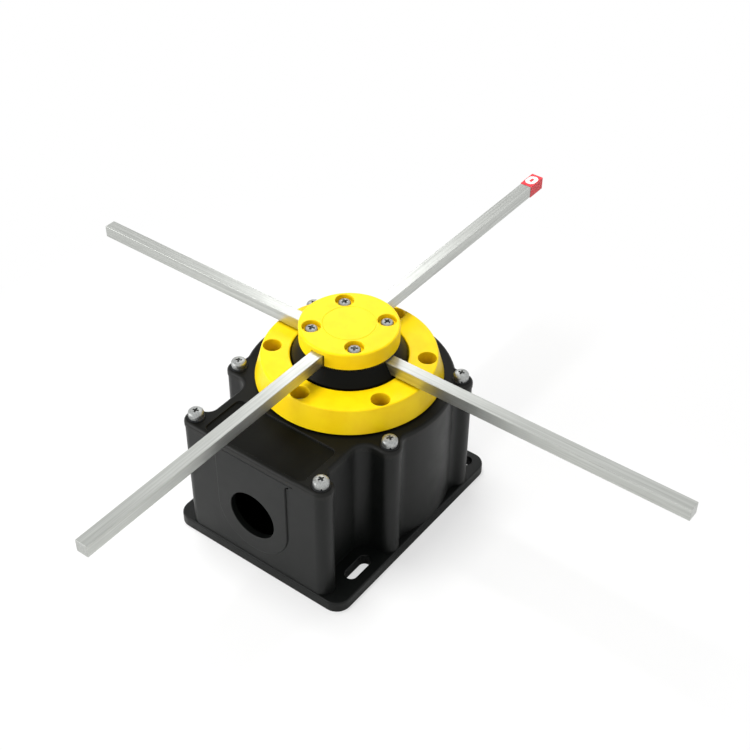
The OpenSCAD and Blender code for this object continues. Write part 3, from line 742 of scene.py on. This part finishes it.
class SWITCH_OT_screws(bpy.types.Operator):
    """Model one pan-head screw of each size and set its copies"""
    bl_idname = "limit_switch.screws"
    bl_label = "Screws"

    def execute(self, context):
        m5 = (4.75, 3.7, 2.5, 18, 0.5)
        m4 = (4.0, 3.1, 2.0, 25, 0.7)
        self.set_of("lid_screw", m5, 93.7, POSTS, "housing", "lid_screws")
        self.set_of("collar_screw", m5, 97.8, RING_HOLES, "housing", "collar_screws")
        self.set_of("cap_screw", m4, 126.6, CAP_HOLES, "head", "cap_screws")
        return {"FINISHED"}

    def set_of(self, name, size, seat, places, body, node):
        """One screw at each place, each turned to its own angle."""
        master = self.screw(name + "_1", *size)
        for i, (x, y) in enumerate(places):
            piece = copied(master, f"{name}_{i + 1}_of_{len(places)}", (x, y, seat), math.radians(17 + 53 * i))
            finished(piece, body, stuff("zinc"), node)
        bpy.data.objects.remove(master)

    def screw(self, name, r, h, shank, length, cross):
        """Pan head with a domed top, a cross recess and a plain shank; cross is the recess as a share of r."""
        head = [(0, -length), (shank - 0.4, -length), (shank, -length + 0.4), (shank, 0), (r - 0.25, 0), (r, 0.25),
                (r, h * 0.42)]
        for a in [math.radians(15 * i) for i in range(1, 7)]:
            head.append((r * 0.6 + r * 0.4 * math.cos(a), h * 0.42 + h * 0.5 * math.sin(a)))
        head += [(r * 0.3, h * 0.985), (0, h)]
        piece = turned(name, head, 48)
        wide, thin, deep = r * cross, r * cross * 0.26, h * 0.8
        cuts = []
        for turn in (0, 90):
            bar = block("bar", (-wide, -thin, h - deep), (wide, thin, h + 1))
            for v in bar.data.vertices:
                if v.co.z < h * MM:
                    v.co.x *= 0.45
            cuts.append(moved(bar, turn=math.radians(turn)))
        return smooth(combine(piece, cuts), 35)


class SWITCH_OT_marker(bpy.types.Operator):
    """Finish the red end marker of the upper rod and its plain white figure"""
    bl_idname = "limit_switch.marker"
    bl_label = "Marker"

    def execute(self, context):
        finished_node("rod_marker", "red")
        finished_node("marker_zero", "white")
        return {"FINISHED"}


def finished_node(name, key):
    """Gives a CAD node its finish and leaves its mesh as it is."""
    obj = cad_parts[name]
    if not obj.data.materials:
        obj.data.materials.append(None)
    for i in range(len(obj.material_slots)):
        obj.material_slots[i].material = stuff(key)


class SWITCH_OT_inner(bpy.types.Operator):
    """Finish the CAD nodes, those that a visual piece stands for too"""
    bl_idname = "limit_switch.inner"
    bl_label = "Inner parts"

    def execute(self, context):
        plan = {
            "rubber": ["lid_gasket", "shaft_seal", "seal_washers"],
            "brass": ["thread_inserts", "switch_terminals"],
            "bronze": ["bearing_bush", "lower_bush"],
            "steel": ["frame_pillars", "guide_plugs", "detent_spring_a", "detent_spring_b", "detent_pin_a",
                      "detent_pin_b", "switch_spacers", "shaft", "shaft_key", "star_wheel", "cam_spacers",
                      "shaft_clip"],
            "zinc": ["plate_screws", "guide_screws", "switch_screws", "hub_screw", "lid_screws", "collar_screws",
                     "cap_screws", "spring_washers"],
            "sheet": ["frame_plate"],
            "oxide": ["clamp_plate"],
            "alloy": ["detent_guides"],
            "switch": ["switch_bodies"],
            "cam": ["switch_plungers", "cam_upper", "cam_lower"],
            "hub": ["hub"],
            "lid": ["lid"],
            "housing": ["base_box"],
            "yellow": ["collar_ring", "cap"],
            "rod_x": ["lower_rod"],
            "rod_y": ["upper_rod"],
        }
        for key, names in plan.items():
            for name in names:
                finished_node(name, key)
        return {"FINISHED"}


# Name, place, aim and size in metres, power in watts, and whether metal shows it
LAMPS = (
    ("key_lamp", (-0.28, 0.0, 1.35), (0, 0, 0.1), 0.5, 15.3, False),
    ("front_lamp", (-0.9, -1.1, 0.35), (0, 0, 0.05), 0.8, 8, True),
    ("fill_lamp", (-0.2, -1.3, 0.5), (0, 0, 0.1), 0.8, 7, False),
    ("side_lamp", (1.2, -0.35, 0.55), (0, 0, 0.1), 0.8, 2.0, False),
    ("rod_lamp", (-0.27, 0.34, 0.467), (0, 0, 0.12), 0.15, 0.3, True),
)
CAMERA_AIM = (0, 0, 0.06)
CAMERA_SHIFT = (0.01577, 0.02293)
SENSOR = 36
FLOOR_Z = -0.0002
PAPER = (0.16, 0.34)  # distances in metres between which the paper runs out to plain white


class SWITCH_OT_stage(bpy.types.Operator):
    """Set the floor, lamps, world and camera"""
    bl_idname = "limit_switch.stage"
    bl_label = "Stage"

    def execute(self, context):
        view = context.scene.switch_view
        self.floor()
        self.world(view.world)
        for settings in LAMPS:
            self.lamp(*settings)
        self.camera(context, view)
        context.scene.view_settings.view_transform = "Standard"
        return {"FINISHED"}

    def floor(self):
        """Pale paper that keeps the shadow near the object and runs out to plain white."""
        clear_selection()
        bpy.ops.mesh.primitive_plane_add(size=8, location=(0, 0, FLOOR_Z))
        floor = bpy.context.object
        floor.name = "floor"
        paint = bpy.data.materials.new("White paper")
        paint.use_nodes = True
        tree = paint.node_tree
        shader = tree.nodes["Principled BSDF"]
        shader.inputs["Base Color"].default_value = linear("#EDEDEC")
        shader.inputs["Roughness"].default_value = 1.0
        shader.inputs["Specular IOR Level"].default_value = 0.0
        place = add(tree, "ShaderNodeTexCoord")
        away = add(tree, "ShaderNodeVectorMath", [(0, place.outputs["Object"])], operation="LENGTH")
        far = add(tree, "ShaderNodeMapRange", [("Value", away.outputs["Value"])],
                  From_Min=PAPER[0], From_Max=PAPER[1])
        white = add(tree, "ShaderNodeEmission", Strength=1.0).outputs["Emission"]
        seen, shown = self.seen(tree)
        glow = self.mixed(tree, self.maths(tree, "MULTIPLY", shown, 0.6), shader.outputs["BSDF"], white)
        plain = self.mixed(tree, self.maths(tree, "MULTIPLY", far.outputs["Result"], seen), glow, white)
        tree.links.new(plain, tree.nodes["Material Output"].inputs["Surface"])
        floor.data.materials.append(paint)

    def maths(self, tree, operation, first, second):
        """Joins an output with another output or a number."""
        made = add(tree, "ShaderNodeMath", [(0, first)], operation=operation)
        if isinstance(second, float):
            made.inputs[1].default_value = second
        else:
            tree.links.new(second, made.inputs[1])
        return made.outputs["Value"]

    def mixed(self, tree, part, first, second):
        return add(tree, "ShaderNodeMixShader", [("Fac", part), (1, first), (2, second)]).outputs["Shader"]

    def seen(self, tree):
        """1 for rays from the camera, off metal and through glass; and 1 for the camera's own rays."""
        ray = add(tree, "ShaderNodeLightPath")
        two = self.maths(tree, "MAXIMUM", ray.outputs["Is Camera Ray"], ray.outputs["Is Glossy Ray"])
        three = self.maths(tree, "MAXIMUM", two, ray.outputs["Is Transmission Ray"])
        return three, ray.outputs["Is Camera Ray"]

    def world(self, strength):
        """Even light from all round, and plain white wherever it is seen."""
        sky = bpy.data.worlds.new("Soft white room")
        bpy.context.scene.world = sky
        sky.use_nodes = True
        tree = sky.node_tree
        light = tree.nodes["Background"]
        light.inputs["Color"].default_value = (1, 1, 1, 1)
        light.inputs["Strength"].default_value = strength
        shown = add(tree, "ShaderNodeBackground", Color=(1, 1, 1, 1), Strength=1.0)
        mix = self.mixed(tree, self.seen(tree)[0], light.outputs["Background"], shown.outputs["Background"])
        tree.links.new(mix, tree.nodes["World Output"].inputs["Surface"])

    def lamp(self, name, place, aim, size, power, glossy):
        """A square lamp turned toward its aim."""
        data = bpy.data.lights.new(name, "AREA")
        data.shape = "SQUARE"
        data.size = size
        data.energy = power
        lamp = bpy.data.objects.new(name, data)
        bpy.context.scene.collection.objects.link(lamp)
        lamp.location = place
        lamp.visible_glossy = glossy
        lamp.rotation_euler = (Vector(aim) - Vector(place)).to_track_quat("-Z", "Y").to_euler()

    def camera(self, context, view):
        """The camera that was fitted to the photograph."""
        a, e, roll = view.azimuth, view.elevation, view.roll
        back = Vector((math.sin(a) * math.cos(e), -math.cos(a) * math.cos(e), math.sin(e)))
        right = Vector((math.cos(a), math.sin(a), 0))
        up = back.cross(right)
        across = math.cos(roll) * right + math.sin(roll) * up
        upward = math.cos(roll) * up - math.sin(roll) * right
        place = Vector(CAMERA_AIM) + back * view.distance + across * CAMERA_SHIFT[0] + upward * CAMERA_SHIFT[1]
        data = bpy.data.cameras.new("camera")
        data.lens = view.lens
        data.sensor_width = SENSOR
        data.sensor_fit = "HORIZONTAL"
        data.clip_start = 0.01
        camera = bpy.data.objects.new("camera", data)
        context.scene.collection.objects.link(camera)
        turn = Matrix((across, upward, back)).transposed().to_4x4()
        camera.matrix_world = Matrix.Translation(place) @ turn
        context.scene.camera = camera


class SWITCH_PT_panel(bpy.types.Panel):
    """Lists the pieces of the limit switch"""
    bl_idname = "SWITCH_PT_panel"
    bl_label = "Limit Switch"
    bl_space_type = "VIEW_3D"
    bl_region_type = "UI"
    bl_category = "Limit Switch"

    def draw(self, context):
        for group in ("switch_housing", "switch_head", "switch_rods", "switch_finish", "switch_view"):
            settings = getattr(context.scene, group)
            box = self.layout.box()
            for key in settings.__annotations__:
                box.prop(settings, key)
        for piece in PIECES:
            self.layout.operator(piece.bl_idname)


GROUPS = {
    "switch_housing": SwitchHousing,
    "switch_head": SwitchHead,
    "switch_rods": SwitchRods,
    "switch_finish": SwitchFinish,
    "switch_view": SwitchView,
}
PIECES = (SWITCH_OT_inner, SWITCH_OT_base, SWITCH_OT_lid, SWITCH_OT_ring, SWITCH_OT_cap, SWITCH_OT_rods,
          SWITCH_OT_screws, SWITCH_OT_marker, SWITCH_OT_stage)


def register():
    for group in GROUPS.values():
        bpy.utils.register_class(group)
    for name, group in GROUPS.items():
        setattr(bpy.types.Scene, name, bpy.props.PointerProperty(type=group))
    for piece in PIECES:
        bpy.utils.register_class(piece)
    bpy.utils.register_class(SWITCH_PT_panel)


def unregister():
    bpy.utils.unregister_class(SWITCH_PT_panel)
    for piece in reversed(PIECES):
        bpy.utils.unregister_class(piece)
    for name, group in GROUPS.items():
        delattr(bpy.types.Scene, name)
        bpy.utils.unregister_class(group)


def main():
    register()
    bpy.ops.limit_switch.inner()
    bpy.ops.limit_switch.base()
    bpy.ops.limit_switch.lid()
    bpy.ops.limit_switch.ring()
    bpy.ops.limit_switch.cap()
    bpy.ops.limit_switch.rods()
    bpy.ops.limit_switch.screws()
    bpy.ops.limit_switch.marker()
    bpy.ops.limit_switch.stage()


if __name__ == "__main__":
    main()
